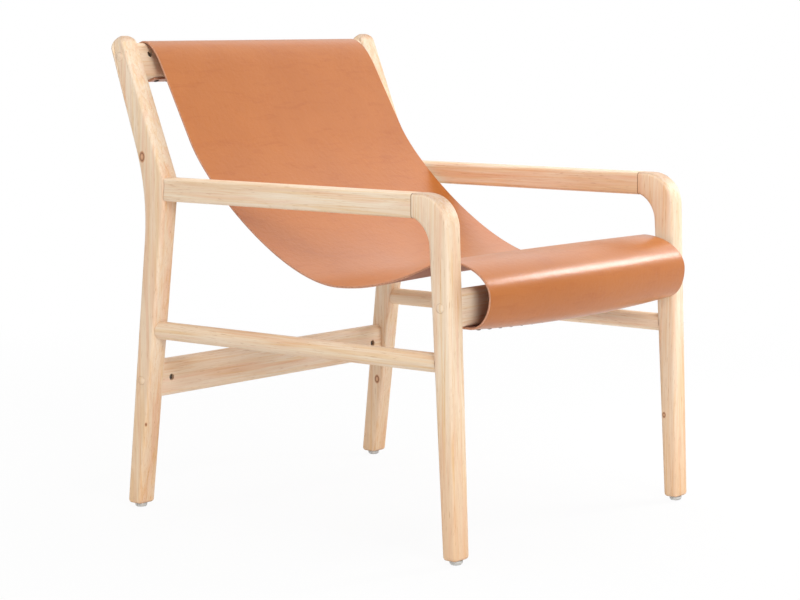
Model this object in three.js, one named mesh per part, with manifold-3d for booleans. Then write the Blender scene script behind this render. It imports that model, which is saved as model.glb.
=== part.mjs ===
// A lounge chair: a knock-down wooden frame with one sheet of thick leather hung in it as back and seat.
// Millimetres and degrees. +Z is up, the sitter faces -Y, and +X is the sitter's left.
import * as THREE from "three";
import { mergeVertices } from "three/addons/utils/BufferGeometryUtils.js";
import Module from "manifold-3d";

const wasm = await Module();
wasm.setup();

// Fits and edges
const fitGap = 0.3; // left between any two pieces that meet
const edgeRound = 5; // soft edge along legs, posts and arms
const footRound = edgeRound + 1; // rounding of a foot, seen from the side
const chordError = 0.15; // how far the steps of an arc may stray from it
const roundSides = 20; // flats round a turned piece or a hole

// Side frames
const frameSpacing = 593.4; // between the centre planes of the two side frames
const stockWidth = 34; // sideways thickness of legs, posts and arms
const footSpread = 649.6; // between the front and rear glide centres
const glideHeight = 7;

// Front leg, whose upper end turns through a curved corner into the arm
const frontFootDepth = 25.5;
const frontFaceLean = 2.14; // the front face leans back as it rises
const frontBackLean = 3.34;
const armTop = 540;
const armHeight = 36.6;
const cornerRadius = 51.5;
const cornerLength = 64; // from the front face at the top to the seam with the arm rail
const haunchLength = 26; // how far the inner curve runs along the underside of the arm
const haunchAngle = 23; // slope of the inner curve where it leaves the arm

// Rear post, a boomerang that tapers both ways from its elbow
const rearFootDepth = 29;
const postFrontLean = 7; // the lower part leans forward as it rises
const postRearLean = 5.94;
const elbowDrop = 8.6; // the front elbow below the top of the arm
const elbowFrontRadius = 10;
const elbowRearRadius = 340;
const upperFrontLean = 21.9; // the upper part leans back as it rises
const upperRearLean = 19;
const postHeight = 763;
const postEndRadius = 16;

// Joints inside the side frames
const armTenonDiameter = 20;
const armTenonLength = 22;
const armDowelDiameter = 8;
const armDowelLength = 40;
const armDowelSpacing = 16;
const sideStretcherDiameter = 29;
const sideStretcherHeight = 294;
const stretcherTenonDiameter = 18;
const stretcherTenonLength = 18;

// Cross rails: their middles above the floor and their sections
const railThickness = 22;
const railRound = 8;
const railWidth = 60; // of the rear stretcher and the top rail, from edge to edge
const frontRailWidth = 56;
const frontRailHeight = 373;
const frontBoltRise = 3.5; // the front rail's bolts sit above its middle
const rearStretcherHeight = 211.5;
const rearStretcherSetback = 2; // behind the middle of the post
const topRailDrop = 41.5; // rail centre below the top of the post
const topBoltRise = 9; // the top rail's bolts sit above its middle

// Fittings at each rail end
const boltDiameter = 6;
const boltHeadDiameter = 11;
const boltHeadHeight = 5;
const boltOverrun = 8; // past the axis of the barrel nut
const counterboreDepth = 12;
const plugMargin = 3; // plug wider than the bolt head under it
const plugDome = 1.2;
const nutDiameter = 10;
const nutLength = 14;
const nutInset = 24; // from the end of the rail
const nutSlotWidth = 1.4;
const nutSlotDepth = 1.6;
const dowelDiameter = 8;
const dowelLength = 30;
const dowelOffset = 18; // between the axes of bolt and dowel

const plugDiameter = boltHeadDiameter + plugMargin;
const plugDepth = counterboreDepth - boltHeadHeight - 2 * fitGap;

// Floor glides
const glideDiameter = 20;
const glideFlatDiameter = 11;
const glidePinDiameter = 4;
const glidePinLength = 14;

// Leather sling; heights and curves are those of its upper, grain side
const leatherThickness = 3;
const headSideGap = 20.7; // from the edge of the leather to a side frame, at the top rail
const seatSideGap = 6.7;
const frontSideGap = 15.7;
const tailSetback = 3; // the nailed ends stop short of the rail's face
const backSlope = 61; // of the straight back, from level
const headBendReach = 49; // the bend between the top rail and the straight back
const headBendDrop = 43;
const backStraight = 127; // length of the straight back
const backBendPull = 79;
const seatBackPull = 113;
const seatLowHeight = 389;
const seatLowSetback = 229; // lowest point of the seat behind the front rail
const seatFrontPull = 115;
const crestPull = 24;
const crestRise = 39.5; // crest of the front roll above the front rail
const crestSetback = 28; // behind the middle of the front rail
const rollReach = 79.5; // from the crest forward to the face of the roll
const rollShoulder = 50.5; // from the crest down to the face of the roll
const rollLead = 17; // where the roll comes level, in front of the middle of the front rail

const looks = {
  wood: { color: 0xe6c7a2, roughness: 0.55, metalness: 0 },
  leather: { color: 0xc98a5c, roughness: 0.5, metalness: 0 },
  steel: { color: 0xa9abae, roughness: 0.35, metalness: 1 },
  plastic: { color: 0xeeeeea, roughness: 0.4, metalness: 0 },
};
const sides = [
  { name: "left", x: 1 },
  { name: "right", x: -1 },
];
const chair = new THREE.Group();
chair.name = "sling_lounge_chair";

const toRadians = THREE.MathUtils.degToRad;
const slope = (degrees) => Math.tan(toRadians(degrees));
const vector = (x, y, z) => new THREE.Vector3(x, y, z);

// One closed solid from a three.js geometry, with its vertices joined and collapsed faces dropped.
function solid(geometry) {
  const bare = new THREE.BufferGeometry();
  bare.setAttribute("position", geometry.getAttribute("position"));
  bare.setIndex(geometry.index);
  const merged = mergeVertices(bare, 1e-3);
  const corners = merged.index.array;
  const faces = [];
  for (let i = 0; i < corners.length; i += 3) {
    const [a, b, c] = [corners[i], corners[i + 1], corners[i + 2]];
    if (a !== b && b !== c && c !== a) {
      faces.push(a, b, c);
    }
  }
  const mesh = new wasm.Mesh({
    numProp: 3,
    vertProperties: merged.getAttribute("position").array,
    triVerts: new Uint32Array(faces),
  });
  return new wasm.Manifold(mesh);
}

function cut(body, tools) {
  return tools.reduce((rest, tool) => rest.subtract(tool), body);
}

function addPiece(name, body, look) {
  const mesh = body.getMesh();
  const geometry = new THREE.BufferGeometry();
  geometry.setAttribute("position", new THREE.BufferAttribute(mesh.vertProperties, 3));
  geometry.setIndex(new THREE.BufferAttribute(mesh.triVerts, 1));
  geometry.computeVertexNormals();
  const piece = new THREE.Mesh(geometry, new THREE.MeshStandardMaterial(looks[look]));
  piece.name = name;
  chair.add(piece);
}

// The arc that replaces a corner of an outline, between the edges to the corners before and after it.
function cornerArc(before, corner, after) {
  const at = new THREE.Vector2(corner.y, corner.z);
  const back = new THREE.Vector2(before.y, before.z).sub(at).normalize();
  const ahead = new THREE.Vector2(after.y, after.z).sub(at).normalize();
  const halfAngle = Math.acos(back.dot(ahead)) / 2;
  const middle = back.clone().add(ahead).normalize();
  const centre = middle.multiplyScalar(corner.radius / Math.sin(halfAngle)).add(at);
  const start = back.clone().multiplyScalar(corner.radius / Math.tan(halfAngle)).add(at);
  const turn = (Math.PI - 2 * halfAngle) * Math.sign(ahead.cross(back));
  const widestStep = 2 * Math.acos(1 - chordError / corner.radius);
  const steps = Math.ceil(Math.abs(turn) / widestStep);
  const points = [];
  for (let i = 0; i <= steps; i += 1) {
    points.push(start.clone().rotateAround(centre, (turn * i) / steps));
  }
  return points;
}

// A closed outline in Y and Z; a corner that has a radius is rounded.
function outline(corners) {
  const points = [];
  corners.forEach((corner, i) => {
    const after = corners[(i + 1) % corners.length];
    const sharp = [new THREE.Vector2(corner.y, corner.z)];
    const added = corner.radius ? cornerArc(corners.at(i - 1), corner, after) : sharp;
    for (const point of added) {
      if (!points.length || point.distanceTo(points.at(-1)) > 0.01) {
        points.push(point);
      }
    }
  });
  return new THREE.Shape(points);
}

function roundedRectangle(width, height, radius) {
  const [y, z] = [width / 2, height / 2];
  return outline([
    { y: -y, z: -z, radius },
    { y: y, z: -z, radius },
    { y: y, z: z, radius },
    { y: -y, z: z, radius },
  ]);
}

// Turns an outline that was drawn in X and Y, and extruded along Z, into Y and Z, extruded along X.
const sideways = new THREE.Matrix4().makeBasis(vector(0, 1, 0), vector(0, 0, 1), vector(1, 0, 0));

// A leg or post of a side frame, cut from stock with soft edges.
function plate(shape, x) {
  const depth = stockWidth - 2 * edgeRound;
  const geometry = new THREE.ExtrudeGeometry(shape, {
    depth,
    bevelThickness: edgeRound,
    bevelSize: edgeRound,
    bevelOffset: -edgeRound,
    bevelSegments: 3,
  });
  geometry.translate(0, 0, -depth / 2);
  return solid(geometry.applyMatrix4(sideways).translate(x, 0, 0));
}

// The same leg or post as a cutter: wider than the stock, and larger all round by the fit.
function plateCutter(shape, x) {
  const depth = 2 * stockWidth;
  const geometry = new THREE.ExtrudeGeometry(shape, {
    depth,
    bevelThickness: fitGap,
    bevelSize: fitGap,
    bevelSegments: 1,
  });
  geometry.translate(0, 0, -depth / 2);
  return solid(geometry.applyMatrix4(sideways).translate(x, 0, 0));
}

function block(low, high) {
  const box = new THREE.Box3(low, high);
  const size = box.getSize(vector());
  const centre = box.getCenter(vector());
  const geometry = new THREE.BoxGeometry(size.x, size.y, size.z);
  return solid(geometry.translate(centre.x, centre.y, centre.z));
}

// Turns a geometry whose axis is Y to another direction, and moves its origin to a point.
function aim(geometry, origin, direction) {
  const turn = new THREE.Quaternion().setFromUnitVectors(vector(0, 1, 0), direction);
  return geometry.applyQuaternion(turn).translate(origin.x, origin.y, origin.z);
}

function rod(from, to, diameter) {
  const along = to.clone().sub(from);
  const length = along.length();
  const geometry = new THREE.CylinderGeometry(diameter / 2, diameter / 2, length, roundSides);
  const middle = from.clone().lerp(to, 0.5);
  return solid(aim(geometry, middle, along.divideScalar(length)));
}

// A hole for a rod.
function bore(from, to, diameter) {
  return rod(from, to, diameter + 2 * fitGap);
}

// A round piece from its half profile, a list of [radius, distance along the axis].
function turned(profile, origin, direction) {
  const points = profile.map(([radius, along]) => new THREE.Vector2(radius, along));
  return solid(aim(new THREE.LatheGeometry(points, roundSides), origin, direction));
}

// Faces of the legs and posts, as Y at a height
const frontFootY = -footSpread / 2;
const rearFootY = footSpread / 2;
const legFrontY = (z) => frontFootY - frontFootDepth / 2 + slope(frontFaceLean) * (z - glideHeight);
const legBackY = (z) => frontFootY + frontFootDepth / 2 + slope(frontBackLean) * (z - glideHeight);
const postFrontY = (z) => rearFootY - rearFootDepth / 2 - slope(postFrontLean) * (z - glideHeight);
const postRearY = (z) => rearFootY + rearFootDepth / 2 - slope(postRearLean) * (z - glideHeight);
const elbowZ = armTop - elbowDrop;
const upperFrontY = (z) => postFrontY(elbowZ) + slope(upperFrontLean) * (z - elbowZ);

// The round end of the post touches the upper front face; the rear face is drawn from it.
const postEndZ = postHeight - postEndRadius;
const postEndY = upperFrontY(postEndZ) + postEndRadius / Math.cos(toRadians(upperFrontLean));
const upperRearY = (z) => {
  const level = postEndY + postEndRadius / Math.cos(toRadians(upperRearLean));
  return level + slope(upperRearLean) * (z - postEndZ);
};

const armBottom = armTop - armHeight;
const armMiddle = armTop - armHeight / 2;
const seamY = legFrontY(armTop) + cornerLength;

function frontLegOutline() {
  const trim = 20; // spare length past the seam
  const haunchY = legBackY(armBottom) + haunchLength;
  // The slope that leaves the arm at the haunch meets the back of the leg at this height.
  const meetZ = armBottom - haunchLength / (1 / slope(haunchAngle) - slope(frontBackLean));
  const reach = Math.hypot(haunchY - legBackY(meetZ), armBottom - meetZ);
  const turn = toRadians(90 - haunchAngle - frontBackLean);
  return outline([
    { y: legFrontY(glideHeight), z: glideHeight, radius: footRound },
    { y: legBackY(glideHeight), z: glideHeight, radius: footRound },
    { y: legBackY(meetZ), z: meetZ, radius: reach / Math.tan(turn / 2) },
    { y: haunchY, z: armBottom },
    { y: seamY + trim, z: armBottom },
    { y: seamY + trim, z: armTop },
    { y: legFrontY(armTop), z: armTop, radius: cornerRadius },
  ]);
}

function rearPostOutline() {
  // The rear faces of the lower and upper parts meet at this height.
  const steepness = slope(upperRearLean) + slope(postRearLean);
  const meetZ = (postRearY(0) - upperRearY(0)) / steepness;
  // The end is square to the post's own axis before it is rounded.
  const lean = toRadians((upperFrontLean + upperRearLean) / 2);
  const cotangent = 1 / Math.tan(lean);
  const crownY = postEndY + postEndRadius * Math.sin(lean);
  const crownZ = postEndZ + postEndRadius * Math.cos(lean);
  const endLine = crownY + crownZ * cotangent;
  const frontZ = (endLine - upperFrontY(0)) / (slope(upperFrontLean) + cotangent);
  const rearZ = (endLine - upperRearY(0)) / (slope(upperRearLean) + cotangent);
  return outline([
    { y: postFrontY(glideHeight), z: glideHeight, radius: footRound },
    { y: postRearY(glideHeight), z: glideHeight, radius: footRound },
    { y: postRearY(meetZ), z: meetZ, radius: elbowRearRadius },
    { y: upperRearY(rearZ), z: rearZ, radius: postEndRadius },
    { y: upperFrontY(frontZ), z: frontZ, radius: postEndRadius },
    { y: postFrontY(elbowZ), z: elbowZ, radius: elbowFrontRadius },
  ]);
}

// Cross rails: each has a middle line, a width, a lean from upright, and heights of bolts and dowels above
// its middle. The nut face, on which the barrel nuts' holes open, is 1 for the front and -1 for the rear.
const topRailZ = postHeight - topRailDrop;
const frontRail = {
  name: "front_rail",
  holder: "front_leg",
  y: (legFrontY(frontRailHeight) + legBackY(frontRailHeight)) / 2,
  z: frontRailHeight,
  width: frontRailWidth,
  lean: 0,
  boltRise: frontBoltRise,
  dowelRise: frontBoltRise - dowelOffset,
  nutFace: -1,
};
const rearStretcher = {
  name: "rear_stretcher",
  holder: "rear_post",
  y: (postFrontY(rearStretcherHeight) + postRearY(rearStretcherHeight)) / 2 + rearStretcherSetback,
  z: rearStretcherHeight,
  width: railWidth,
  lean: 0,
  boltRise: 0,
  dowelRise: -dowelOffset,
  nutFace: 1,
};
const topRail = {
  name: "top_rail",
  holder: "rear_post",
  y: (upperFrontY(topRailZ) + upperRearY(topRailZ)) / 2,
  z: topRailZ,
  width: railWidth,
  lean: (upperFrontLean + upperRearLean) / 2,
  boltRise: topBoltRise,
  dowelRise: topBoltRise - dowelOffset,
  nutFace: 1,
};
const rails = [frontRail, rearStretcher, topRail];

// A point of a rail from its middle line: along X, forward across its thickness, up its height.
function onRail(rail, x, forward, rise) {
  const lean = toRadians(rail.lean);
  const y = rail.y - forward * Math.cos(lean) + rise * Math.sin(lean);
  const z = rail.z + forward * Math.sin(lean) + rise * Math.cos(lean);
  return vector(x, y, z);
}

// Axes of the fittings of one rail end, as points at a distance from the chair's middle plane.
function fittingAxes(rail, side) {
  return {
    bolt: (x) => onRail(rail, side.x * x, 0, rail.boltRise),
    dowel: (x) => onRail(rail, side.x * x, 0, rail.dowelRise),
    nut: (outward) => onRail(rail, side.x * nutX, rail.nutFace * outward, rail.boltRise),
  };
}

const innerFace = (frameSpacing - stockWidth) / 2;
const outerFace = (frameSpacing + stockWidth) / 2;
const railEnd = innerFace - fitGap;
const nutX = railEnd - nutInset;
const boltTip = nutX - boltOverrun;
const headSeat = outerFace - counterboreDepth + fitGap;
const dowelReach = dowelLength / 2;

// Holes that the fittings of one rail end need in the leg or post.
function holderBores(rail, side) {
  const { bolt, dowel } = fittingAxes(rail, side);
  return [
    bore(bolt(innerFace - 1), bolt(outerFace + 1), boltDiameter),
    bore(bolt(outerFace - counterboreDepth), bolt(outerFace + 5), plugDiameter),
    bore(dowel(innerFace - 1), dowel(innerFace + dowelReach + fitGap), dowelDiameter),
  ];
}

// Holes that the fittings of one rail end need in the rail.
function railBores(rail, side) {
  const { bolt, dowel, nut } = fittingAxes(rail, side);
  return [
    bore(bolt(boltTip - fitGap), bolt(railEnd + 1), boltDiameter),
    bore(nut(-nutLength / 2 - fitGap), nut(railThickness / 2 + 1), nutDiameter),
    bore(dowel(railEnd - dowelReach - fitGap), dowel(railEnd + 1), dowelDiameter),
  ];
}

function addRailFittings(rail, side) {
  const { bolt, dowel, nut } = fittingAxes(rail, side);

  const head = rod(bolt(headSeat), bolt(headSeat + boltHeadHeight), boltHeadDiameter);
  const shank = rod(bolt(boltTip), bolt(headSeat + boltHeadHeight / 2), boltDiameter);
  addPiece(`${rail.name}_bolt_${side.name}`, head.add(shank), "steel");

  const barrel = rod(nut(-nutLength / 2), nut(nutLength / 2), nutDiameter);
  const thread = bore(bolt(nutX - nutDiameter), bolt(nutX + nutDiameter), boltDiameter);
  const slotAt = nut(nutLength / 2);
  const slot = new THREE.BoxGeometry(2 * nutDiameter, 2 * nutSlotDepth, nutSlotWidth);
  const outward = nut(1).sub(nut(0));
  const slotCutter = solid(aim(slot, slotAt, outward));
  addPiece(`${rail.name}_barrel_nut_${side.name}`, cut(barrel, [thread, slotCutter]), "steel");

  const plugRadius = plugDiameter / 2;
  const plugProfile = [
    [0, -plugDepth],
    [plugRadius, -plugDepth],
    [plugRadius, 0],
    [plugRadius * 0.8, plugDome * 0.6],
    [plugRadius * 0.4, plugDome],
    [0, plugDome],
  ];
  const plug = turned(plugProfile, bolt(outerFace), vector(side.x, 0, 0));
  addPiece(`${rail.name}_plug_${side.name}`, plug, "wood");

  const pin = rod(dowel(railEnd - dowelReach + fitGap), dowel(railEnd + dowelReach), dowelDiameter);
  addPiece(`${rail.name}_dowel_${side.name}`, pin, "wood");
}

function addCrossRail(rail) {
  const section = roundedRectangle(railThickness, rail.width, railRound);
  const geometry = new THREE.ExtrudeGeometry(section, { depth: 2 * railEnd, bevelEnabled: false });
  geometry.translate(0, 0, -railEnd);
  geometry.applyMatrix4(sideways).rotateX(-toRadians(rail.lean)).translate(0, rail.y, rail.z);
  const bores = sides.flatMap((side) => railBores(rail, side));
  addPiece(rail.name, cut(solid(geometry), bores), "wood");
  sides.forEach((side) => addRailFittings(rail, side));
}

function addGlide(name, x, y) {
  const radius = glideDiameter / 2;
  const flat = glideFlatDiameter / 2;
  const pin = glidePinDiameter / 2;
  const rim = glideHeight - fitGap;
  const profile = [[0, 0]];
  for (let i = 0; i <= 4; i += 1) {
    const angle = (i / 4) * (Math.PI / 2);
    const swell = (radius - flat) * Math.sin(angle);
    profile.push([flat + swell, rim * 0.75 * (1 - Math.cos(angle))]);
  }
  profile.push([radius, rim], [pin, rim], [pin, rim + glidePinLength], [0, rim + glidePinLength]);
  addPiece(name, turned(profile, vector(x, y, 0), vector(0, 0, 1)), "plastic");
}

const legShape = frontLegOutline();
const postShape = rearPostOutline();

function addSideFrame(side) {
  const x = (side.x * frameSpacing) / 2;
  const at = (y, z) => vector(x, y, z);
  const railHoles = (holder) =>
    rails.filter((rail) => rail.holder === holder).flatMap((rail) => holderBores(rail, side));
  const pinHole = (y) => bore(at(y, glideHeight - 1), at(y, glideHeight + glidePinLength), glidePinDiameter);

  const armDowelHeights = { upper: armMiddle + armDowelSpacing / 2, lower: armMiddle - armDowelSpacing / 2 };
  const dowelFront = seamY - armDowelLength / 2;
  const dowelRear = seamY + armDowelLength / 2;
  const armDowelHoles = Object.values(armDowelHeights).map((z) =>
    bore(at(dowelFront - fitGap, z), at(dowelRear + fitGap, z), armDowelDiameter),
  );
  for (const [level, z] of Object.entries(armDowelHeights)) {
    const pin = rod(at(dowelFront, z), at(dowelRear, z), armDowelDiameter);
    addPiece(`arm_dowel_${level}_${side.name}`, pin, "wood");
  }

  const stretcherFront = legBackY(sideStretcherHeight) - stretcherTenonLength;
  const stretcherRear = postFrontY(sideStretcherHeight) + stretcherTenonLength;
  const stretcherHole = bore(
    at(stretcherFront - fitGap, sideStretcherHeight),
    at(stretcherRear + fitGap, sideStretcherHeight),
    stretcherTenonDiameter,
  );

  const pastSeam = block(vector(x - stockWidth, seamY, 0), vector(x + stockWidth, 0, 2 * armTop));
  const legCuts = [pastSeam, stretcherHole, pinHole(frontFootY), ...armDowelHoles, ...railHoles("front_leg")];
  addPiece(`front_leg_${side.name}`, cut(plate(legShape, x), legCuts), "wood");

  const tenonEnd = postFrontY(armMiddle) + armTenonLength;
  const tenonHole = bore(at(0, armMiddle), at(tenonEnd + fitGap, armMiddle), armTenonDiameter);
  const postCuts = [tenonHole, stretcherHole, pinHole(rearFootY), ...railHoles("rear_post")];
  addPiece(`rear_post_${side.name}`, cut(plate(postShape, x), postCuts), "wood");

  const postCutter = plateCutter(postShape, x);
  const armFront = seamY + fitGap;
  const armStock = new THREE.ExtrudeGeometry(roundedRectangle(stockWidth, armHeight, edgeRound), {
    depth: tenonEnd - armFront,
    bevelEnabled: false,
  });
  armStock.rotateX(Math.PI / 2).translate(x, tenonEnd, armMiddle);
  const armTenon = rod(at(0, armMiddle), at(tenonEnd, armMiddle), armTenonDiameter);
  const arm = cut(solid(armStock), [postCutter, ...armDowelHoles]).add(armTenon);
  addPiece(`arm_rail_${side.name}`, arm, "wood");

  const legMiddle = (legFrontY(sideStretcherHeight) + legBackY(sideStretcherHeight)) / 2;
  const postMiddle = (postFrontY(sideStretcherHeight) + postRearY(sideStretcherHeight)) / 2;
  const atStretcher = (y) => at(y, sideStretcherHeight);
  const roundStock = rod(atStretcher(legMiddle), atStretcher(postMiddle), sideStretcherDiameter);
  const tenons = rod(atStretcher(stretcherFront), atStretcher(stretcherRear), stretcherTenonDiameter);
  const stretcher = cut(roundStock, [plateCutter(legShape, x), postCutter]).add(tenons);
  addPiece(`side_stretcher_${side.name}`, stretcher, "wood");

  addGlide(`front_glide_${side.name}`, x, frontFootY);
  addGlide(`rear_glide_${side.name}`, x, rearFootY);
}

// Stretches of the sling's grain side, from the nailed end under the top rail to that under the front rail.
// Each path is drawn flat, X for the chair's Y and Y for its Z, with the leather's half width at its ends.
function slingStretches() {
  const headHalf = innerFace - headSideGap;
  const seatHalf = innerFace - seatSideGap;
  const frontHalf = innerFace - frontSideGap;
  const skin = fitGap + leatherThickness; // from a rail's face to the grain side
  const bendRadius = railRound + skin;
  const edgeForward = railThickness / 2 - railRound;
  const edgeRise = topRail.width / 2 - railRound;
  const lean = toRadians(topRail.lean);
  const quarter = Math.PI / 2;
  const onTop = (forward, rise) => onRail(topRail, 0, forward, rise);

  const wrap = new THREE.Path();
  const headTail = onTop(railThickness / 2 - tailSetback, -topRail.width / 2 - skin);
  const underEdge = onTop(-edgeForward, -topRail.width / 2 - skin);
  const rearLow = onTop(-edgeForward, -edgeRise);
  const rearHigh = onTop(-edgeForward, edgeRise);
  const frontHigh = onTop(edgeForward, edgeRise);
  wrap.moveTo(headTail.y, headTail.z);
  wrap.lineTo(underEdge.y, underEdge.z);
  wrap.absarc(rearLow.y, rearLow.z, bendRadius, -quarter - lean, -lean, false);
  wrap.absarc(rearHigh.y, rearHigh.z, bendRadius, -lean, quarter - lean, false);
  wrap.absarc(frontHigh.y, frontHigh.z, bendRadius, quarter - lean, quarter, false);

  const apex = new THREE.Vector2(frontHigh.y, frontHigh.z + bendRadius);
  const bendEnd = new THREE.Vector2(apex.x - headBendReach, apex.y - headBendDrop);
  const downBack = new THREE.Vector2(-Math.cos(toRadians(backSlope)), -Math.sin(toRadians(backSlope)));
  const straightEnd = downBack.clone().multiplyScalar(backStraight).add(bendEnd);
  const pull = downBack.clone().multiplyScalar(backBendPull).add(straightEnd);
  const low = new THREE.Vector2(frontRail.y + seatLowSetback, seatLowHeight);
  const back = new THREE.Path();
  back.moveTo(apex.x, apex.y);
  back.quadraticCurveTo(bendEnd.x + headBendDrop / slope(backSlope), apex.y, bendEnd.x, bendEnd.y);
  back.lineTo(straightEnd.x, straightEnd.y);
  back.bezierCurveTo(pull.x, pull.y, low.x + seatBackPull, low.y, low.x, low.y);

  const crest = new THREE.Vector2(frontRail.y + crestSetback, frontRail.z + frontRail.width / 2 + crestRise);
  const rise = new THREE.Path();
  rise.moveTo(low.x, low.y);
  rise.bezierCurveTo(low.x - seatFrontPull, low.y, crest.x + crestPull, crest.y, crest.x, crest.y);

  // The roll is two quarters of ellipses that share its face; its tail runs level under the rail.
  const face = new THREE.Vector2(crest.x - rollReach, crest.y - rollShoulder);
  const tuck = new THREE.Vector2(frontRail.y - rollLead, frontRail.z - frontRail.width / 2 - skin);
  const roll = new THREE.Path();
  roll.moveTo(crest.x, crest.y);
  roll.absellipse(crest.x, face.y, rollReach, rollShoulder, quarter, 2 * quarter, false, 0);
  roll.absellipse(tuck.x, face.y, tuck.x - face.x, face.y - tuck.y, 2 * quarter, 3 * quarter, false, 0);
  roll.lineTo(frontRail.y + railThickness / 2 - tailSetback, tuck.y);

  const steady = () => 0;
  const quickly = (share) => Math.sin(share * quarter);
  const gently = (share) => THREE.MathUtils.smoothstep(share, 0, 1);
  return [
    { path: wrap, steps: 56, from: headHalf, to: headHalf, ease: steady },
    { path: back, steps: 54, from: headHalf, to: seatHalf, ease: quickly },
    { path: rise, steps: 18, from: seatHalf, to: frontHalf, ease: gently },
    { path: roll, steps: 34, from: frontHalf, to: frontHalf, ease: steady },
  ];
}

function addSling() {
  const rows = [];
  slingStretches().forEach(({ path, steps, from, to, ease }, index) => {
    const points = path.getSpacedPoints(steps);
    points.forEach((point, i) => {
      if (index === 0 || i > 0) {
        rows.push({ point, half: THREE.MathUtils.lerp(from, to, ease(i / steps)) });
      }
    });
  });

  // Four corners to a row, in a ring: grain right, grain left, flesh left, flesh right.
  const positions = [];
  rows.forEach(({ point, half }, i) => {
    const before = rows[Math.max(i - 1, 0)].point;
    const after = rows[Math.min(i + 1, rows.length - 1)].point;
    const along = after.clone().sub(before).normalize();
    const flesh = new THREE.Vector2(-along.y, along.x).multiplyScalar(leatherThickness).add(point);
    positions.push(-half, point.x, point.y);
    positions.push(half, point.x, point.y);
    positions.push(half, flesh.x, flesh.y);
    positions.push(-half, flesh.x, flesh.y);
  });

  const faces = [0, 1, 2, 0, 2, 3];
  for (let row = 0; row < rows.length - 1; row += 1) {
    for (let corner = 0; corner < 4; corner += 1) {
      const a = 4 * row + corner;
      const b = 4 * row + ((corner + 1) % 4);
      faces.push(a, b + 4, b, a, a + 4, b + 4);
    }
  }
  const end = 4 * (rows.length - 1);
  faces.push(end, end + 2, end + 1, end, end + 3, end + 2);

  const geometry = new THREE.BufferGeometry();
  geometry.setAttribute("position", new THREE.Float32BufferAttribute(positions, 3));
  geometry.setIndex(faces);
  addPiece("leather_sling", solid(geometry), "leather");
}

sides.forEach(addSideFrame);
rails.forEach(addCrossRail);
addSling();

// The origin is on the floor, under the middle of the chair's box.
const middle = new THREE.Box3().setFromObject(chair).getCenter(vector());
chair.children.forEach((piece) => piece.geometry.translate(0, -middle.y, 0));

export default chair;
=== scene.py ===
"""A lounge chair with a pale wooden frame and a hung sheet of tan leather, in a white studio.

Metres. +Z is up, the sitter faces -Y, and +X is the sitter's left.
"""

import math

import bmesh
import bpy
import numpy as np
from mathutils import Matrix, Vector


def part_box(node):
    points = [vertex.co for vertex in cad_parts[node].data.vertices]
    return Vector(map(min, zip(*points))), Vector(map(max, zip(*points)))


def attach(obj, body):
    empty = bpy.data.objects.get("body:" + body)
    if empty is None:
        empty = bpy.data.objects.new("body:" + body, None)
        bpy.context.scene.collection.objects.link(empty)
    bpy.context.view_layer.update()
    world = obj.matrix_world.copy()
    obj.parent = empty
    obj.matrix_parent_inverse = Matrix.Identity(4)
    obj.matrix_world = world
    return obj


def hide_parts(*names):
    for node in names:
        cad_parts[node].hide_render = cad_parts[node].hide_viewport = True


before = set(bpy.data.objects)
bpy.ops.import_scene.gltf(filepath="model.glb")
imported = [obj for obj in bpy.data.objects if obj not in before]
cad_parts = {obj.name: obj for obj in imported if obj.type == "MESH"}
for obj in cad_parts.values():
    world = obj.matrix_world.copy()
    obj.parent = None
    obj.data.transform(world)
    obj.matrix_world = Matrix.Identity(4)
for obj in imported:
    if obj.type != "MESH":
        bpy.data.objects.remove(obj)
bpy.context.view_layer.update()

# The rails that carry the sling
RAIL_WIDTH = 0.060  # of the top rail, from edge to edge
FRONT_RAIL_WIDTH = 0.056
RAIL_THICKNESS = 0.022
RAIL_ROUND = 0.008
TOP_RAIL_LEAN = math.radians(20.45)

# Leather sling: its path is that of the grain side, which faces the sitter
LEATHER_THICKNESS = 0.003
EDGE_ROUND = 0.0007  # softening of the cut edges
SKIN_GAP = 0.0003  # between the leather and a rail
TAIL_SETBACK = 0.003  # the nailed ends stop short of the rail's face
BACK_SLOPE = math.radians(61)
HEAD_BEND = (0.049, 0.043)  # forward and down, from the top rail to the straight back
BACK_STRAIGHT = 0.127
BACK_BEND_PULL = 0.079
SEAT_BACK_PULL = 0.113
SEAT_LOW_HEIGHT = 0.389
SEAT_LOW_SETBACK = 0.229  # lowest point of the seat behind the front rail
SEAT_FRONT_PULL = 0.115
CREST_PULL = 0.024
CREST_RISE = 0.0395  # crest of the front roll above the front rail
CREST_SETBACK = 0.028
ROLL_REACH = 0.0795  # from the crest forward to the face of the roll
ROLL_SHOULDER = 0.0505
ROLL_LEAD = 0.017  # where the roll comes level, in front of the middle of the front rail
HEAD_SIDE_GAP = 0.0207  # from the edge of the leather to a side frame
SEAT_SIDE_GAP = 0.0067
FRONT_SIDE_GAP = 0.0157

# How far the middle of the sheet stands out from its two edges, and how unevenly the roll's ends hang
SEAT_CROWN = 0.0055
CREST_CROWN = 0.001
BELLY_CROWN = 0.0075
TUCK_CROWN = 0.008
BELLY_SKEW = 0.002

# Fineness of the sheet
COLUMNS = 26  # strips across it
EDGE_STRIP = 0.0015  # width of the outermost strips
EDGE_SIDES = 5  # of a rounded cut edge
ROWS = {  # along each stretch of the path
    "head_tail": 3,
    "rail_edge": 10,
    "rail_face": 6,
    "rail_top": 2,
    "rail_brow": 4,
    "head_bend": 14,
    "back": 10,
    "back_bend": 44,
    "seat": 30,
    "shoulder": 26,
    "belly": 22,
    "front_tail": 8,
}

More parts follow.
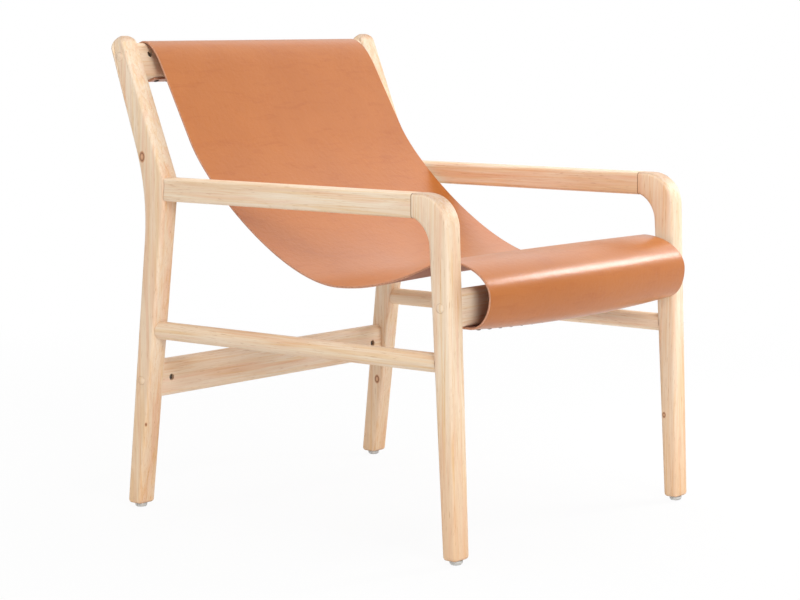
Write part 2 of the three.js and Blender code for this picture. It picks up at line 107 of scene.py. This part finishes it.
# Dome nails that hold the two ends of the sling: the row of the sheet that they sit on,
# the distance of the first one from the leather's edge, their spacing and their height
FRONT_NAILS = {"row": -7, "inset": 0.0275, "pitch": 0.0266, "height": 0.0026}
TOP_NAILS = {"row": 2, "inset": 0.0128, "pitch": 0.0255, "height": 0.0016}
NAIL_RADIUS = 0.0045
NAIL_PROFILE = (  # shares of the radius and the height, from the rim up
    (1.0, -0.25),
    (1.0, 0.12),
    (0.93, 0.38),
    (0.74, 0.70),
    (0.42, 0.92),
)
NAIL_SECTORS = 14

# Rounding of the tops of the rear posts across the chair
DOME_HEIGHT = 0.021
DOME_SHARE = 0.93  # of the width, that the rounding takes away

# Shading: steeper edges than these stay crisp
SMOOTH_ANGLE = math.radians(32)
NAIL_SMOOTH_ANGLE = math.radians(51.2)
WELD_DISTANCE = 0.00001

# Wood: colours in screen values
CREAM = (253, 234, 210)
HONEY = (243, 215, 184)
GLUE_LINE = 0.0007  # half the width of the dark line along a joint
FOOT_RISE = 0.30  # the uprights grow darker and warmer from here down, partly warmer wood and partly painted shade for the light that falls off towards the floor
KNOT_STRETCH = 0.7  # width of a knot as a share of its height
KNOTS = (  # place and radius
    ((-0.3137, 0.2918, 0.5721), 0.0072),
    ((-0.3137, 0.2909, 0.1399), 0.0034),
    ((0.2797, 0.2992, 0.1422), 0.0064),
    ((0.2797, -0.3143, 0.1427), 0.0040),
)
KNOT_RINGS = (  # share of the radius and tint
    (0.0, (240, 220, 204)),
    (0.35, (228, 200, 182)),
    (0.58, (150, 112, 92)),
    (0.78, (222, 190, 168)),
    (1.0, (255, 255, 255)),
)

# Camera and studio
CAMERA_PLACE = Vector((-2.9159, -2.3519, 0.7905))
CAMERA_TARGET = Vector((0.0, 0.0181, 0.3342))
CAMERA_REACH = 100.0
LENS = 104.34
SENSOR = 36.0
WHITE = (1.0, 1.0, 1.0, 1.0)
AMBIENT = 0.28
FLOOR_SIZE = 60.0
FLOOR_COLOUR = (0.86, 0.86, 0.86, 1.0)
FLOOR_GLOW = 0.94  # how far the floor under the chair is white in itself; the rest takes the shadow
FLOOR_REACH = (0.6, 2.4)  # between these distances the floor turns fully white
CHAIR_MIDDLE = (0.0, 0.0, 0.4)

ACROSS = Vector((1.0, 0.0, 0.0))
UPWARD = Vector((0.0, 0.0, 1.0))
X_AXIS, Y_AXIS, Z_AXIS = range(3)
MIX_SHARE, MIX_FIRST, MIX_SECOND, MIX_RESULT = 0, 6, 7, 2  # sockets of a node that mixes colours


def linear(red, green, blue):
    """A colour given in screen values from 0 to 255, as the shaders take it."""
    screen = (red / 255, green / 255, blue / 255)
    return tuple(v / 12.92 if v <= 0.04045 else ((v + 0.055) / 1.055) ** 2.4 for v in screen) + (1.0,)


class Graph:
    """A tree of nodes under construction. An input takes a number, a colour or another node's output."""

    def __init__(self, tree):
        self.tree = tree

    def feed(self, node, inputs):
        """Sets or links the inputs of a node, each found by its name or number."""
        for key, value in inputs.items():
            socket = node.inputs[key]
            if isinstance(value, bpy.types.NodeSocket):
                self.tree.links.new(value, socket)
            else:
                socket.default_value = value

    def add(self, kind, inputs=None, **settings):
        """A new node with its settings and inputs."""
        node = self.tree.nodes.new(kind)
        for key, value in settings.items():
            setattr(node, key, value)
        self.feed(node, inputs or {})
        return node

    def compute(self, operation, *values):
        """The result of a sum, a product or another operation on numbers."""
        return self.add("ShaderNodeMath", dict(enumerate(values)), operation=operation).outputs[0]

    def measure(self, operation, *vectors):
        """A number taken from one or two vectors, such as a length or a distance."""
        node = self.add("ShaderNodeVectorMath", dict(enumerate(vectors)), operation=operation)
        return node.outputs["Value"]

    def parts(self, vector):
        """The x, y and z of a vector."""
        return self.add("ShaderNodeSeparateXYZ", {"Vector": vector}).outputs

    def between(self, value, low, high, to_low, to_high):
        """A value of the range low to high, carried over to the range to_low to to_high."""
        inputs = {"Value": value, "From Min": low, "From Max": high, "To Min": to_low, "To Max": to_high}
        return self.add("ShaderNodeMapRange", inputs).outputs["Result"]


class Shader(Graph):
    """A material under construction."""

    def __init__(self, name):
        self.material = bpy.data.materials.new(name)
        self.material.use_nodes = True
        super().__init__(self.material.node_tree)
        self.surface = self.tree.nodes["Principled BSDF"]
        coordinates = self.add("ShaderNodeTexCoord")
        self.place = coordinates.outputs["Object"]
        self.direction = coordinates.outputs["Normal"]

    def stretched(self, scale):
        """The place on the object, with each axis times its scale."""
        return self.add("ShaderNodeMapping", {"Vector": self.place, "Scale": scale}).outputs["Vector"]

    def noise(self, vector, scale, detail=2.0, roughness=0.5, distortion=0.0):
        inputs = {"Vector": vector, "Scale": scale, "Detail": detail}
        inputs |= {"Roughness": roughness, "Distortion": distortion}
        return self.add("ShaderNodeTexNoise", inputs).outputs[0]

    def cells(self, scale):
        """Distance from the middle of the nearest of many small cells."""
        inputs = {"Vector": self.place, "Scale": scale}
        return self.add("ShaderNodeTexVoronoi", inputs, feature="F1").outputs["Distance"]

    def ramp(self, value, stops):
        """A colour that follows value through stops of position and screen colour."""
        node = self.add("ShaderNodeValToRGB", {"Fac": value})
        elements = node.color_ramp.elements
        while len(elements) < len(stops):
            elements.new(0.5)
        for element, (position, colour) in zip(elements, stops):
            element.position = position
            element.color = linear(*colour)
        return node.outputs["Color"]

    def tinted(self, colour, tint, share=1.0):
        """A colour times a tint, as far as share says."""
        inputs = {MIX_SHARE: share, MIX_FIRST: colour, MIX_SECOND: tint}
        node = self.add("ShaderNodeMix", inputs, data_type="RGBA", blend_type="MULTIPLY")
        return node.outputs[MIX_RESULT]

    def shade(self, colour, value, low, high, tint):
        """Darkens a colour towards a screen tint as value goes from low to high."""
        return self.tinted(colour, linear(*tint), self.between(value, low, high, 0.0, 1.0))

    def total(self, first, second, share):
        """The first value plus a share of the second."""
        return self.compute("MULTIPLY_ADD", second, share, first)

    def bump(self, height, distance, strength=1.0, under=None):
        """Relief of the given height, on top of the relief under."""
        inputs = {"Height": height, "Distance": distance, "Strength": strength}
        if under is not None:
            inputs["Normal"] = under
        return self.add("ShaderNodeBump", inputs).outputs["Normal"]

    def finish(self, **inputs):
        """Feeds the surface and gives the material."""
        self.feed(self.surface, {key.replace("_", " "): value for key, value in inputs.items()})
        return self.material


def knotted(shader, colour, centre, radius):
    """A colour with the rings of a knot round centre, longer along the upright grain than across it."""
    squeeze = Vector((1.0, 1.0, KNOT_STRETCH))
    away = shader.measure("DISTANCE", shader.stretched(squeeze), Vector(centre) * squeeze)
    return shader.tinted(colour, shader.ramp(shader.between(away, 0.0, radius, 0.0, 1.0), KNOT_RINGS))


def wood(name, grain, light, deep, seam=None, knots=()):
    """Pale oiled hardwood whose fibres run along the axis grain.

    A glue line shows where a joint crosses the plane y = seam. Wood with knots is that of the uprights: it
    has a knot round each of the given points and grows darker and warmer towards the feet, partly warmer
    wood and partly painted shade for the light that falls off towards the floor.
    """
    shader = Shader(name)

    def along(stretch):
        scale = [1.0, 1.0, 1.0]
        scale[grain] = stretch
        return shader.stretched(scale)

    boards = shader.noise(shader.place, 2.6, detail=1.0)
    figure = shader.noise(along(0.07), 38.0, detail=3.0, roughness=0.55, distortion=0.5)
    colour = shader.ramp(shader.total(figure, boards, 0.5), [(0.52, deep), (0.95, light)])
    blush = shader.noise(along(0.06), 64.0, distortion=0.8)
    colour = shader.shade(colour, blush, 0.48, 0.70, (251, 236, 228))
    rings = shader.noise(along(0.028), 150.0, distortion=1.2)
    colour = shader.shade(colour, rings, 0.46, 0.70, (249, 236, 212))
    fibres = shader.noise(along(0.02), 620.0, detail=3.0, roughness=0.6)
    colour = shader.shade(colour, fibres, 0.45, 0.75, (246, 237, 226))
    pores = shader.noise(along(0.035), 1300.0, detail=1.0)
    colour = shader.shade(colour, pores, 0.66, 0.76, (220, 196, 172))
    end_grain = shader.compute("ABSOLUTE", shader.parts(shader.direction)[grain])
    colour = shader.shade(colour, end_grain, 0.45, 0.85, (218, 208, 204))
    if seam is not None:
        joint = shader.compute("COMPARE", shader.parts(shader.place)["Y"], seam, GLUE_LINE)
        colour = shader.shade(colour, joint, 0.0, 1.0, (176, 146, 122))
    if knots:
        # Darker and warmer towards the feet: partly warmer wood, partly painted shade for the light falling
        # off towards the floor
        height = shader.parts(shader.place)["Z"]
        colour = shader.shade(colour, height, FOOT_RISE, 0.0, (249, 235, 220))
    for centre, radius in knots:
        colour = knotted(shader, colour, centre, radius)
    roughness = shader.between(fibres, 0.3, 0.7, 0.46, 0.62)
    normal = shader.bump(shader.total(fibres, pores, -0.6), 0.00012)
    return shader.finish(Base_Color=colour, Roughness=roughness, Normal=normal)


def leather_grain():
    """Smooth waxed saddle leather with clouded dye, faint growth lines, fine pores and shallow creases."""
    shader = Shader("leather_grain")
    clouds = shader.noise(shader.place, 7.0, detail=4.0, roughness=0.6, distortion=0.4)
    colour = shader.ramp(clouds, [(0.30, (184, 105, 39)), (0.70, (192, 113, 46))])
    across_hide = shader.stretched((0.22, 1.0, 1.0))
    lines = shader.noise(across_hide, 70.0, detail=4.0, roughness=0.65, distortion=0.9)
    colour = shader.shade(colour, lines, 0.52, 0.75, (246, 236, 226))
    pores = shader.noise(shader.place, 1900.0)
    colour = shader.shade(colour, pores, 0.62, 0.80, (232, 216, 204))
    creases = shader.noise(shader.place, 110.0, detail=4.0, roughness=0.6)
    waves = shader.noise(shader.place, 5.0)
    relief = shader.bump(shader.total(shader.cells(720.0), pores, 0.5), 0.00008, 0.6)
    relief = shader.bump(creases, 0.0004, under=relief)
    relief = shader.bump(waves, 0.004, 0.35, under=relief)
    return shader.finish(
        Base_Color=colour,
        Roughness=shader.between(shader.total(clouds, lines, 0.5), 0.5, 1.0, 0.28, 0.34),
        Specular_IOR_Level=0.44,
        Sheen_Weight=0.15,
        Sheen_Roughness=0.25,
        Sheen_Tint=(1.0, 0.84, 0.66, 1.0),
        Normal=relief,
    )


def leather_flesh():
    """The napped back of the hide."""
    shader = Shader("leather_flesh")
    clouds = shader.noise(shader.place, 16.0, detail=4.0, roughness=0.6)
    colour = shader.ramp(clouds, [(0.3, (168, 118, 98)), (0.7, (184, 132, 112))])
    nap = shader.noise(shader.place, 850.0, detail=4.0, roughness=0.7)
    colour = shader.shade(colour, nap, 0.45, 0.75, (206, 190, 180))
    return shader.finish(Base_Color=colour, Roughness=0.92, Normal=shader.bump(nap, 0.0004))


def leather_edge():
    """The undyed cut edge, mottled by the fibres of the hide."""
    shader = Shader("leather_edge")
    fibres = shader.noise(shader.place, 420.0, detail=4.0, roughness=0.7)
    colour = shader.ramp(fibres, [(0.35, (186, 126, 96)), (0.65, (216, 164, 134))])
    return shader.finish(Base_Color=colour, Roughness=0.75, Normal=shader.bump(fibres, 0.0003))


def steel(name, bright, dull, roughness):
    """Plated steel with a slightly worn skin."""
    shader = Shader(name)
    wear = shader.noise(shader.place, 260.0, detail=4.0, roughness=0.6)
    return shader.finish(
        Base_Color=shader.ramp(wear, [(0.35, dull), (0.65, bright)]),
        Metallic=1.0,
        Roughness=shader.between(wear, 0.3, 0.7, roughness - 0.08, roughness + 0.08),
        Normal=shader.bump(wear, 0.00005),
    )


def milky_plastic():
    """Moulded glide plastic, milky and slightly scuffed."""
    shader = Shader("milky_plastic")
    scuffs = shader.noise(shader.place, 500.0, detail=4.0, roughness=0.6)
    return shader.finish(
        Base_Color=shader.ramp(scuffs, [(0.35, (222, 222, 218)), (0.65, (240, 240, 237))]),
        Roughness=shader.between(scuffs, 0.3, 0.7, 0.28, 0.45),
        Normal=shader.bump(scuffs, 0.00005),
        Transmission_Weight=0.35,
    )


def domed(graph, shape, post):
    """Rounds the top of a rear post across the chair; along the chair it is round already."""
    axis = Vector((0.0, math.sin(TOP_RAIL_LEAN), math.cos(TOP_RAIL_LEAN)))
    top = max(vertex.co.dot(axis) for vertex in post.data.vertices)
    low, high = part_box(post.name)
    middle_x = (low.x + high.x) / 2
    place = graph.add("GeometryNodeInputPosition").outputs["Position"]
    x, y, z = graph.parts(place)
    rise = graph.between(graph.measure("DOT_PRODUCT", place, axis), top - DOME_HEIGHT, top, 0.0, 1.0)
    square = graph.compute("MULTIPLY", rise, rise)
    width = graph.compute("SQRT", graph.compute("MULTIPLY_ADD", square, -DOME_SHARE, 1.0))
    across = graph.compute("MULTIPLY_ADD", graph.compute("SUBTRACT", x, middle_x), width, middle_x)
    moved = graph.add("ShaderNodeCombineXYZ", {"X": across, "Y": y, "Z": z}).outputs["Vector"]
    return graph.add("GeometryNodeSetPosition", {"Geometry": shape, "Position": moved}).outputs["Geometry"]


def frame_finish(name, post=None):
    """Geometry nodes that join the split corners of a frame piece and shade its curved faces as curved.

    A rear post, if one is given, also has its top rounded.
    """
    tree = bpy.data.node_groups.new(name, "GeometryNodeTree")
    tree.interface.new_socket("Geometry", in_out="INPUT", socket_type="NodeSocketGeometry")
    tree.interface.new_socket("Geometry", in_out="OUTPUT", socket_type="NodeSocketGeometry")
    graph = Graph(tree)
    whole = graph.add("NodeGroupInput").outputs[0]
    inputs = {"Geometry": whole, "Distance": WELD_DISTANCE}
    shape = graph.add("GeometryNodeMergeByDistance", inputs).outputs["Geometry"]
    if post is not None:
        shape = domed(graph, shape, post)
    angle = graph.add("GeometryNodeInputMeshEdgeAngle").outputs["Unsigned Angle"]
    steep = graph.add("FunctionNodeCompare", {"A": angle, "B": SMOOTH_ANGLE}, operation="GREATER_THAN")
    inputs = {"Mesh": shape, "Remove Custom": True, "Edge Sharpness": steep.outputs["Result"]}
    shaded = graph.add("GeometryNodeSetMeshNormal", inputs, mode="SHARPNESS")
    graph.add("NodeGroupOutput", {0: shaded.outputs["Mesh"]})
    return tree


def put_object(name, data):
    """An object in the scene that shows a mesh, a lamp or a camera."""
    obj = bpy.data.objects.new(name, data)
    bpy.context.scene.collection.objects.link(obj)
    return obj


def shade_smooth(mesh, angle):
    """Shades a mesh as curved, except at edges steeper than angle."""
    mesh.polygons.foreach_set("use_smooth", [True] * len(mesh.polygons))
    mesh.set_sharp_from_angle(angle=angle)


def make_object(name, vertices, faces, materials, indices=None):
    """A smoothly shaded object; indices gives the material of each face where there is more than one."""
    mesh = bpy.data.meshes.new(name)
    mesh.from_pydata(vertices, [], faces)
    for material in materials:
        mesh.materials.append(material)
    if indices is not None:
        mesh.polygons.foreach_set("material_index", indices)
    shade_smooth(mesh, SMOOTH_ANGLE)
    mesh.validate()
    return put_object(name, mesh)


def middle(node):
    """The middle of a node's box, as (y, z)."""
    low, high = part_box(node)
    return np.array(((low.y + high.y) / 2, (low.z + high.z) / 2))


def bezier(points, steps):
    """Points along a Bezier curve, without its first one."""
    share = np.linspace(0.0, 1.0, steps + 1)[1:, None]
    rungs = [np.repeat(np.array(p, float)[None], steps, axis=0) for p in points]
    while len(rungs) > 1:
        rungs = [a * (1 - share) + b * share for a, b in zip(rungs, rungs[1:])]
    return list(rungs[0])


def turn(centre, radii, start, end, steps):
    """Points along an arc of an ellipse, without its first one."""
    angles = np.linspace(start, end, steps + 1)[1:]
    spokes = np.stack((radii[0] * np.cos(angles), radii[1] * np.sin(angles)), axis=1)
    return list(np.array(centre) + spokes)


def on_top_rail(forward, rise):
    """A point of the top rail's leaning section, measured from its middle, as (y, z)."""
    ahead = np.array((-math.cos(TOP_RAIL_LEAN), math.sin(TOP_RAIL_LEAN)))
    up = np.array((math.sin(TOP_RAIL_LEAN), math.cos(TOP_RAIL_LEAN)))
    return middle("top_rail") + forward * ahead + rise * up


class Sheet:
    """The hung sheet: the path of its grain side and, for each row, the half width and the bulge."""

    def __init__(self):
        self.stretches = []

    def add(self, points, halves, crowns, skews=(0.0, 0.0)):
        """Rows that follow the ones before; a pair of values eases from the first to the second."""
        ease = np.linspace(0.0, 1.0, len(points) + 1)[1:]
        ease = ease * ease * (3 - 2 * ease)
        columns = [v if len(v) > 2 else v[0] + (v[1] - v[0]) * ease for v in (halves, crowns, skews)]
        self.stretches.append(np.column_stack([np.array(points), *columns]))

    def close(self):
        """Ends the path and finds the direction from the grain side into the leather at each row."""
        rows = np.vstack(self.stretches)
        self.points = rows[:, :2]
        self.halves, self.crowns, self.skews = rows[:, 2:].T
        along = np.gradient(self.points, axis=0)
        along /= np.linalg.norm(along, axis=1)[:, None]
        self.inward = np.stack((-along[:, 1], along[:, 0]), axis=1)

    def at(self, row, x, depth):
        """A point at x across a row, as far under the grain side as depth."""
        share = x / self.halves[row]
        bulge = self.crowns[row] * (1 - share**2) - self.skews[row] * share
        return x, *(self.points[row] + self.inward[row] * (depth - bulge))

    def flat_size(self):
        """The length and the area of the sheet laid flat."""
        core = self.points + self.inward * LEATHER_THICKNESS / 2
        steps = np.linalg.norm(np.diff(core, axis=0), axis=1)
        return float(steps.sum()), float((steps * (self.halves[1:] + self.halves[:-1])).sum())


def head_wrap(skin):
    """The path from the nailed head under the top rail, up its rear face and over it, until it is level."""
    bend = RAIL_ROUND + skin
    half_width = RAIL_WIDTH / 2
    edge_forward = RAIL_THICKNESS / 2 - RAIL_ROUND
    edge_rise = half_width - RAIL_ROUND
    under, behind, over = (angle - TOP_RAIL_LEAN for angle in (-math.pi / 2, 0.0, math.pi / 2))
    rear_low = on_top_rail(-edge_forward, -edge_rise)
    rear_high = on_top_rail(-edge_forward, edge_rise)
    front_high = on_top_rail(edge_forward, edge_rise)

    path = [on_top_rail(RAIL_THICKNESS / 2 - TAIL_SETBACK, -half_width - skin)]
    path += bezier([path[0], on_top_rail(-edge_forward, -half_width - skin)], ROWS["head_tail"])
    path += turn(rear_low, (bend, bend), under, behind, ROWS["rail_edge"])
    path += bezier([path[-1], on_top_rail(-edge_forward - bend, edge_rise)], ROWS["rail_face"])
    path += turn(rear_high, (bend, bend), behind, over, ROWS["rail_edge"])
    path += bezier([path[-1], on_top_rail(edge_forward, edge_rise + bend)], ROWS["rail_top"])
    path += turn(front_high, (bend, bend), over, math.pi / 2, ROWS["rail_brow"])
    return path


def hang_sheet():
    """The sheet from its nailed head down the back and over the seat and the roll to its nailed front."""
    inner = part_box("front_leg_left")[0].x
    head_half = inner - HEAD_SIDE_GAP
    seat_half = inner - SEAT_SIDE_GAP
    front_half = inner - FRONT_SIDE_GAP
    skin = SKIN_GAP + LEATHER_THICKNESS
    quarter = math.pi / 2
    front_y, front_z = middle("front_rail")
    sheet = Sheet()

    wrap = head_wrap(skin)
    sheet.add(wrap, (head_half, head_half), (0.0, 0.0))

    apex = wrap[-1]
    down = np.array((-math.cos(BACK_SLOPE), -math.sin(BACK_SLOPE)))
    bend_end = apex - np.array(HEAD_BEND)
    bend_corner = (bend_end[0] + HEAD_BEND[1] / math.tan(BACK_SLOPE), apex[1])
    straight_end = bend_end + BACK_STRAIGHT * down
    low = np.array((front_y + SEAT_LOW_SETBACK, SEAT_LOW_HEIGHT))
    pulls = [straight_end + BACK_BEND_PULL * down, low + np.array((SEAT_BACK_PULL, 0.0))]
    back = bezier([apex, bend_corner, bend_end], ROWS["head_bend"])
    back += bezier([bend_end, straight_end], ROWS["back"])
    back += bezier([straight_end, *pulls, low], ROWS["back_bend"])
    widening = np.sin(np.linspace(0.0, quarter, len(back) + 1)[1:])
    sheet.add(back, head_half + (seat_half - head_half) * widening, (0.0, SEAT_CROWN))

    crest = np.array((front_y + CREST_SETBACK, front_z + FRONT_RAIL_WIDTH / 2 + CREST_RISE))
    pulls = [low - np.array((SEAT_FRONT_PULL, 0.0)), crest + np.array((CREST_PULL, 0.0))]
    seat = bezier([low, *pulls, crest], ROWS["seat"])
    sheet.add(seat, (seat_half, front_half), (SEAT_CROWN, CREST_CROWN))

    face_y, face_z = crest - np.array((ROLL_REACH, ROLL_SHOULDER))
    tuck_y = front_y - ROLL_LEAD
    tuck_z = front_z - FRONT_RAIL_WIDTH / 2 - skin
    tail_y = front_y + RAIL_THICKNESS / 2 - TAIL_SETBACK
    shoulder_radii = (ROLL_REACH, ROLL_SHOULDER)
    belly_radii = (tuck_y - face_y, face_z - tuck_z)
    shoulder = turn((crest[0], face_z), shoulder_radii, quarter, 2 * quarter, ROWS["shoulder"])
    belly = turn((tuck_y, face_z), belly_radii, 2 * quarter, 3 * quarter, ROWS["belly"])
    tail = bezier([(tuck_y, tuck_z), (tail_y, tuck_z)], ROWS["front_tail"])
    halves = (front_half, front_half)
    sheet.add(shoulder, halves, (CREST_CROWN, BELLY_CROWN), (0.0, BELLY_SKEW))
    sheet.add(belly, halves, (BELLY_CROWN, TUCK_CROWN), (BELLY_SKEW, 0.0))
    sheet.add(tail, halves, (TUCK_CROWN, 0.0))
    sheet.close()
    return sheet


def ring_of(half):
    """One section across the sheet with rounded edges, as (x, depth) from the grain side."""
    soft = EDGE_ROUND
    bevel = soft * (1 - math.sqrt(0.5))
    thick = LEATHER_THICKNESS
    rim = half - soft
    across = [-rim, *np.linspace(EDGE_STRIP - rim, rim - EDGE_STRIP, COLUMNS - 1), rim]
    ring = [(x, 0.0) for x in across]
    ring += [(half - bevel, bevel), (half, soft), (half, thick - soft), (half - bevel, thick - bevel)]
    ring += [(x, thick) for x in across[::-1]]
    ring += [(-half + bevel, thick - bevel), (-half, thick - soft), (-half, soft), (-half + bevel, bevel)]
    return ring


def make_sling(sheet, materials):
    """The sheet as a solid with a grain side, a flesh side and cut edges."""
    count = len(sheet.points)
    vertices = [sheet.at(row, x, depth) for row in range(count) for x, depth in ring_of(sheet.halves[row])]
    grain, edge, flesh = range(3)
    kinds = [grain] * COLUMNS + [edge] * EDGE_SIDES + [flesh] * COLUMNS + [edge] * EDGE_SIDES
    size = len(kinds)
    left_rim = 2 * COLUMNS + EDGE_SIDES  # where the flesh side ends, counted round a section
    faces, indices = [], []
    for row in range(count - 1):
        for side in range(size):
            a = row * size + side
            b = row * size + (side + 1) % size
            faces.append((a, b, b + size, a + size))
            indices.append(kinds[side])
    for start, flip in ((0, -1), ((count - 1) * size, 1)):
        caps = [(i, i + 1, left_rim - i - 1, left_rim - i) for i in range(COLUMNS)]
        caps.append(range(COLUMNS, COLUMNS + EDGE_SIDES + 1))
        caps.append([*range(left_rim, size), 0])
        for cap in caps:
            faces.append(tuple(start + k for k in cap)[::flip])
            indices.append(edge)
    return make_object("hung_leather", vertices, faces, materials, indices)


def add_nail(mesh, centre, outward, height):
    """A low turned nail head whose rim lies round centre."""
    forward = outward.cross(ACROSS)
    rings = []
    for width, rise in NAIL_PROFILE:
        ring = []
        for k in range(NAIL_SECTORS):
            angle = 2 * math.pi * k / NAIL_SECTORS
            spoke = ACROSS * math.cos(angle) + forward * math.sin(angle)
            ring.append(mesh.verts.new(centre + spoke * width * NAIL_RADIUS + outward * rise * height))
        rings.append(ring)
    tip = mesh.verts.new(centre + outward * height)
    mesh.faces.new(rings[0])
    for k in range(NAIL_SECTORS):
        n = (k + 1) % NAIL_SECTORS
        for lower, upper in zip(rings, rings[1:]):
            mesh.faces.new((lower[k], lower[n], upper[n], upper[k]))
        mesh.faces.new((rings[-1][k], rings[-1][n], tip))


def nail_row(name, sheet, material, row, inset, pitch, height):
    """A row of dome nails across the chair, on the grain side of the leather."""
    mesh = bmesh.new()
    reach = sheet.halves[row] - inset
    for x in np.linspace(-reach, reach, round(2 * reach / pitch) + 1):
        before, centre, after = (Vector(sheet.at(row + k, x, 0.0)) for k in (-1, 0, 1))
        add_nail(mesh, centre, (after - before).cross(ACROSS).normalized(), height)
    bmesh.ops.recalc_face_normals(mesh, faces=mesh.faces)
    data = bpy.data.meshes.new(name)
    mesh.to_mesh(data)
    mesh.free()
    data.materials.append(material)
    shade_smooth(data, NAIL_SMOOTH_ANGLE)
    return put_object(name, data)


def seen_or_mirrored(graph):
    """1 for what shows to the camera, straight, in gloss or through plastic; 0 for light on its way."""
    ray = graph.add("ShaderNodeLightPath").outputs
    shown = graph.compute("MAXIMUM", ray["Is Camera Ray"], ray["Is Glossy Ray"])
    return graph.compute("MAXIMUM", shown, ray["Is Transmission Ray"])


def white_floor():
    """A floor that is white in itself where it shows, but keeps some of the chair's shadow."""
    shader = Shader("white_floor")
    lit = shader.surface.outputs["BSDF"]
    glow = shader.add("ShaderNodeEmission", {"Color": WHITE, "Strength": 1.0}).outputs["Emission"]
    white = shader.between(shader.measure("LENGTH", shader.place), *FLOOR_REACH, FLOOR_GLOW, 1.0)
    share = shader.compute("MULTIPLY", seen_or_mirrored(shader), white)
    mixed = shader.add("ShaderNodeMixShader", {0: share, 1: lit, 2: glow}).outputs["Shader"]
    shader.feed(shader.tree.nodes["Material Output"], {"Surface": mixed})
    return shader.finish(Base_Color=FLOOR_COLOUR, Roughness=0.9)


def white_surroundings():
    """A world that shows white and gives a plain, lower ambient light."""
    world = bpy.data.worlds.new("studio")
    world.use_nodes = True
    graph = Graph(world.node_tree)
    strength = graph.between(seen_or_mirrored(graph), 0.0, 1.0, AMBIENT, 1.0)
    graph.feed(world.node_tree.nodes["Background"], {"Color": WHITE, "Strength": strength})
    return world


def softbox(name, place, target, size, power, upright=UPWARD):
    """A soft lamp that faces target; its second size lies along upright."""
    lamp = bpy.data.lights.new(name, "AREA")
    lamp.shape = "RECTANGLE"
    lamp.size, lamp.size_y = size
    lamp.energy = power
    back = (Vector(place) - Vector(target)).normalized()
    side = upright.cross(back).normalized()
    turned = Matrix((side, back.cross(side), back)).transposed().to_4x4()
    put_object(name, lamp).matrix_world = Matrix.Translation(place) @ turned


seam = (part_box("front_leg_left")[1].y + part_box("arm_rail_left")[0].y) / 2
upright_wood = wood("upright_wood", Z_AXIS, CREAM, HONEY, seam, KNOTS)
arm_wood = wood("arm_wood", Y_AXIS, CREAM, HONEY, seam)
stretcher_wood = wood("stretcher_wood", Y_AXIS, CREAM, HONEY)
rail_wood = wood("rail_wood", X_AXIS, CREAM, HONEY)
dowel_wood = wood("dowel_wood", X_AXIS, (232, 202, 166), (216, 178, 138))
zinc = steel("zinc", (150, 146, 140), (104, 98, 92), 0.36)
dark_nail = steel("dark_nail", (96, 72, 58), (58, 42, 34), 0.42)
plastic = milky_plastic()
hide = [leather_grain(), leather_edge(), leather_flesh()]

looks = (  # the first word that a node's name contains gives its material
    ("front_leg", upright_wood),
    ("rear_post", upright_wood),
    ("arm_rail", arm_wood),
    ("side_stretcher", stretcher_wood),
    ("glide", plastic),
    ("bolt", zinc),
    ("barrel_nut", zinc),
    ("plug", upright_wood),
    ("dowel", dowel_wood),
    ("rail", rail_wood),
    ("rear_stretcher", rail_wood),
)
soft_shading = frame_finish("soft_shading")
for name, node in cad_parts.items():
    if name == "leather_sling":
        continue
    node.data.materials.clear()
    node.data.materials.append(next(material for word, material in looks if word in name))
    finish = frame_finish(name + "_finish", node) if "rear_post" in name else soft_shading
    node.modifiers.new("finish", "NODES").node_group = finish

sheet = hang_sheet()
sling = make_sling(sheet, hide)
sling_length, sling_area = sheet.flat_size()
front_nails = nail_row("front_nails", sheet, dark_nail, **FRONT_NAILS)
top_nails = nail_row("top_nails", sheet, dark_nail, **TOP_NAILS)

for piece in (sling, front_nails, top_nails):
    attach(piece, "root")
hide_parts("leather_sling")

# The studio: a white floor that keeps the shadow, white surroundings and soft lamps
half = FLOOR_SIZE / 2
corners = [(-half, -half, 0), (half, -half, 0), (half, half, 0), (-half, half, 0)]
make_object("floor", corners, [(0, 1, 2, 3)], [white_floor()])
bpy.context.scene.world = white_surroundings()

softbox("key", place=(-2.5, -4.8, 2.6), target=CHAIR_MIDDLE, size=(2.4, 2.2), power=158.0)
softbox("fill", place=(-4.0, 0.9, 1.5), target=CHAIR_MIDDLE, size=(2.5, 2.0), power=25.0)
softbox("overhead", place=(0.0, 0.3, 3.0), target=CHAIR_MIDDLE, size=(2.4, 2.4), power=35.0, upright=ACROSS)
softbox("side", place=(3.2, 0.2, 2.75), target=CHAIR_MIDDLE, size=(4.0, 2.0), power=17.0)
strip_place = (1.30, -0.71, 1.19)
strip_target = (1.30, -0.74, 0.41)
softbox("strip", place=strip_place, target=strip_target, size=(0.21, 0.95), power=17.0, upright=ACROSS)

camera = bpy.data.cameras.new("camera")
camera.lens = LENS
camera.sensor_width = SENSOR
camera.sensor_fit = "HORIZONTAL"
camera.clip_end = CAMERA_REACH
eye = put_object("camera", camera)
eye.location = CAMERA_PLACE
eye.rotation_euler = (CAMERA_TARGET - CAMERA_PLACE).to_track_quat("-Z", "Y").to_euler()
bpy.context.scene.camera = eye
bpy.context.scene.view_settings.view_transform = "Standard"
